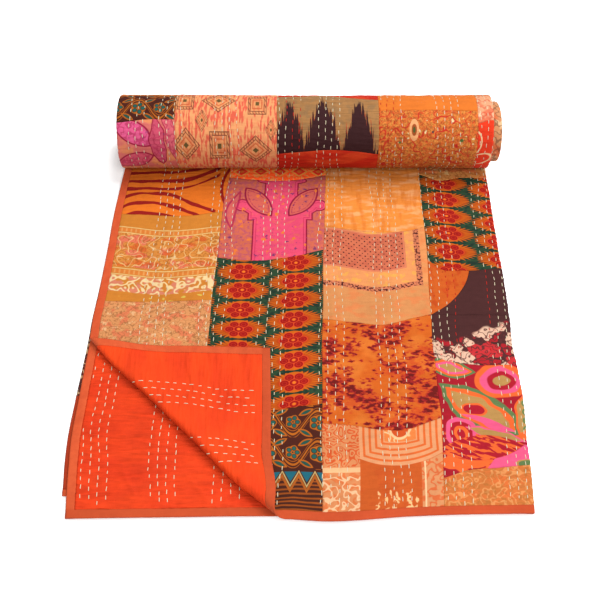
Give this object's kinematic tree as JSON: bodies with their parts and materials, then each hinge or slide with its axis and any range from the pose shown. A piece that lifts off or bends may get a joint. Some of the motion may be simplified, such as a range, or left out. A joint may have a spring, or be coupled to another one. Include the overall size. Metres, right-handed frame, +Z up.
{
  "type": "patchwork quilt",
  "caption": "Hand-stitched patchwork quilt with a plain orange lining and bound edges, folded lengthwise, rolled up from one end, a near corner turned back.",
  "frame": {"origin": "on the surface it lies on, under the middle of the folded and rolled quilt", "axes": "+Z up; +Y from the near hem towards the roll; +X along the roll, to the right as seen from the near hem"},
  "size_m": [0.6133, 0.6797, 0.1156],
  "materials": {
    "patchwork_cloth": "matte printed cotton patches, running stitch",
    "orange_binding": "matte plain cotton"
  },
  "bodies": {
    "root": {"quilt_body": "patchwork_cloth", "binding": "orange_binding"}
  },
  "joints": []
}
